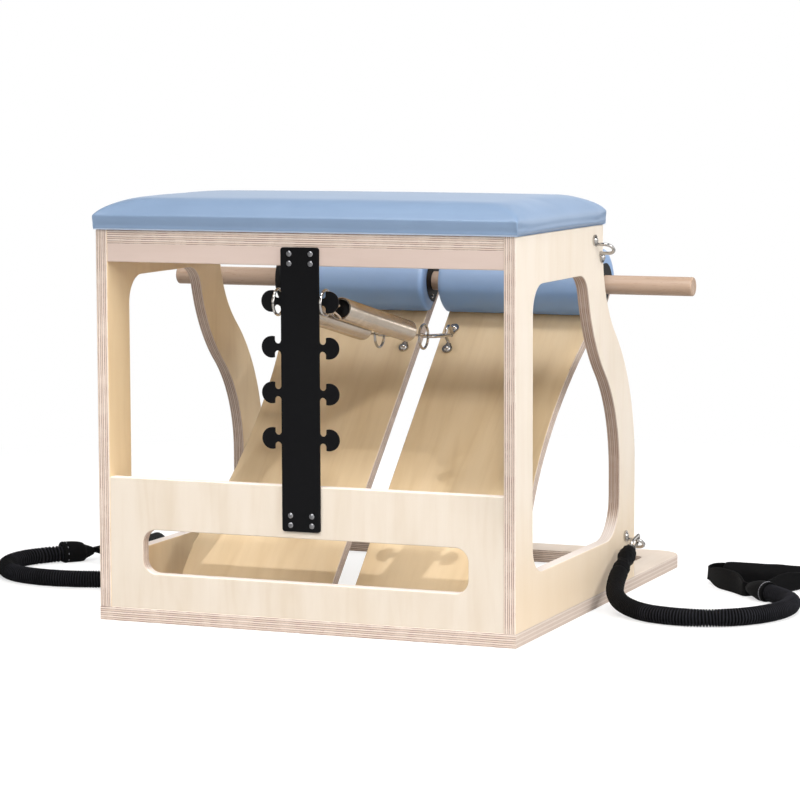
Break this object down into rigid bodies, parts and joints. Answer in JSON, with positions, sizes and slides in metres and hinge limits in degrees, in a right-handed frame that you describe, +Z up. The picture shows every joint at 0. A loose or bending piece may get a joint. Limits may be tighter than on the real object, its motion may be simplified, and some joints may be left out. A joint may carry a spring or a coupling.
{
  "type": "pilates chair",
  "caption": "Low plywood exercise chair with a padded seat, split spring-loaded pedals joined by a removable bar, a hooked spring plate and elastic hand cords",
  "frame": {"origin": "middle of the base board's footprint, on the floor plane", "axes": "+X to the user's right as seen from behind the chair, +Y from the spring plate at the rear towards the pedals and the open front, +Z up"},
  "size_m": [1.2878, 0.8042, 0.613],
  "materials": {
    "birch_ply": "clear satin lacquer over pale birch plywood, layered edges",
    "beech": "smooth oiled hardwood",
    "blue_vinyl": "matte pale blue vinyl",
    "black_steel": "satin black powder coat",
    "chrome": "bright plated steel",
    "zinc_steel": "zinc-plated steel",
    "black_plastic": "matte black plastic",
    "black_fabric": "matte black gathered fabric"
  },
  "bodies": {
    "frame": {"base_board": "birch_ply", "left_side_panel": "birch_ply", "right_side_panel": "birch_ply", "rear_lower_panel": "birch_ply", "seat_board": "birch_ply", "seat_rail": "birch_ply", "frame_pins": "beech", "seat_cushion": "blue_vinyl", "cushion_board": "birch_ply", "cushion_screws": "zinc_steel", "spring_plate": "black_steel", "plate_screws": "zinc_steel", "hinge_base_leaves": "zinc_steel", "hinge_pins": "zinc_steel", "hinge_base_screws": "zinc_steel", "side_eyes": "chrome", "side_eye_screws": "chrome", "left_cord": "black_fabric", "left_cord_cuff": "black_fabric", "left_cord_hook": "chrome", "left_handle_cuff": "black_fabric", "left_handle_strap": "black_fabric", "left_handle_grip": "black_fabric", "right_cord": "black_fabric", "right_cord_cuff": "black_fabric", "right_cord_hook": "chrome", "right_handle_cuff": "black_fabric", "right_handle_strap": "black_fabric", "right_handle_grip": "black_fabric"},
    "left_pedal": {"left_pedal_board": "birch_ply", "left_hinge_pedal_leaf": "zinc_steel", "left_hinge_pedal_screws": "zinc_steel", "left_pad": "blue_vinyl", "left_pad_core": "beech", "left_pad_caps": "black_plastic", "left_pad_cap_screws": "chrome", "left_pedal_eye": "chrome", "left_pedal_eye_screws": "chrome"},
    "left_spring_lower": {"left_spring_hook": "chrome", "left_lower_ring": "chrome"},
    "left_spring_upper": {"left_spring": "chrome", "left_upper_ring": "chrome"},
    "left_spring_gate_body": {"left_spring_gate": "chrome"},
    "left_cord_gate_body": {"left_cord_gate": "chrome"},
    "right_pedal": {"right_pedal_board": "birch_ply", "right_hinge_pedal_leaf": "zinc_steel", "right_hinge_pedal_screws": "zinc_steel", "right_pad": "blue_vinyl", "right_pad_core": "beech", "right_pad_caps": "black_plastic", "right_pad_cap_screws": "chrome", "right_pedal_eye": "chrome", "right_pedal_eye_screws": "chrome"},
    "right_spring_lower": {"right_spring_hook": "chrome", "right_lower_ring": "chrome"},
    "right_spring_upper": {"right_spring": "chrome", "right_upper_ring": "chrome"},
    "right_spring_gate_body": {"right_spring_gate": "chrome"},
    "right_cord_gate_body": {"right_cord_gate": "chrome"},
    "bar": {"dowel": "beech"}
  },
  "joints": [
    {"name": "right_pedal_press", "type": "hinge", "parent": "frame", "child": "right_pedal", "pos_m": [0.14, -0.278, 0.0254], "axis": [-1, 0, 0], "range_deg": [0, 40], "stiffness_Nm_per_rad": 40, "springref_deg": -28.65},
    {"name": "right_spring_swing", "type": "hinge", "parent": "right_pedal", "child": "right_spring_lower", "pos_m": [0.036, 0.071, 0.38618], "axis": [-1, 0, 0], "range_deg": [-18.3, 0]},
    {"name": "right_spring_stretch", "type": "slide", "parent": "right_spring_lower", "child": "right_spring_upper", "axis": [0, -0.9792, 0.2028], "range_m": [0, 0.2685], "deforming": ["right_spring"]},
    {"name": "right_spring_gate_open", "type": "hinge", "parent": "right_spring_lower", "child": "right_spring_gate_body", "pos_m": [0.0465, 0.03486, 0.38829], "axis": [0, 0.0581, 0.9983], "range_deg": [0, 10], "stiffness_Nm_per_rad": 0.05, "springref_deg": -20.05},
    {"name": "right_cord_gate_open", "type": "hinge", "parent": "frame", "child": "right_cord_gate_body", "pos_m": [0.33602, 0.07412, 0.07251], "axis": [0.9677, 0.08, -0.2392], "range_deg": [0, 10], "stiffness_Nm_per_rad": 0.05, "springref_deg": -20.05},
    {"name": "left_pedal_press", "type": "hinge", "parent": "frame", "child": "left_pedal", "pos_m": [-0.14, -0.278, 0.0254], "axis": [-1, 0, 0], "range_deg": [0, 40], "stiffness_Nm_per_rad": 40, "springref_deg": -28.65},
    {"name": "left_spring_swing", "type": "hinge", "parent": "left_pedal", "child": "left_spring_lower", "pos_m": [-0.036, 0.071, 0.38618], "axis": [-1, 0, 0], "range_deg": [-18.3, 0]},
    {"name": "left_spring_stretch", "type": "slide", "parent": "left_spring_lower", "child": "left_spring_upper", "axis": [0, -0.9792, 0.2028], "range_m": [0, 0.2685], "deforming": ["left_spring"]},
    {"name": "left_spring_gate_open", "type": "hinge", "parent": "left_spring_lower", "child": "left_spring_gate_body", "pos_m": [-0.0465, 0.03486, 0.38829], "axis": [0, -0.0581, -0.9983], "range_deg": [0, 10], "stiffness_Nm_per_rad": 0.05, "springref_deg": -20.05},
    {"name": "left_cord_gate_open", "type": "hinge", "parent": "frame", "child": "left_cord_gate_body", "pos_m": [-0.33996, 0.07231, 0.08586], "axis": [-0.9625, 0.0986, -0.2526], "range_deg": [0, 10], "stiffness_Nm_per_rad": 0.05, "springref_deg": -20.05},
    {"name": "bar_pull_out", "type": "slide", "parent": "right_pedal", "child": "bar", "axis": [1, 0, 0], "range_m": [0, 0.44]}
  ],
  "couplings": [
    {"joint": "right_spring_swing", "follows": "right_pedal_press", "ratio": -0.45688},
    {"joint": "right_spring_stretch", "follows": "right_pedal_press", "m_per_rad": 0.38399},
    {"joint": "left_spring_swing", "follows": "right_pedal_press", "ratio": -0.45688},
    {"joint": "left_spring_stretch", "follows": "right_pedal_press", "m_per_rad": 0.38399},
    {"joint": "left_pedal_press", "follows": "right_pedal_press", "ratio": 1}
  ]
}
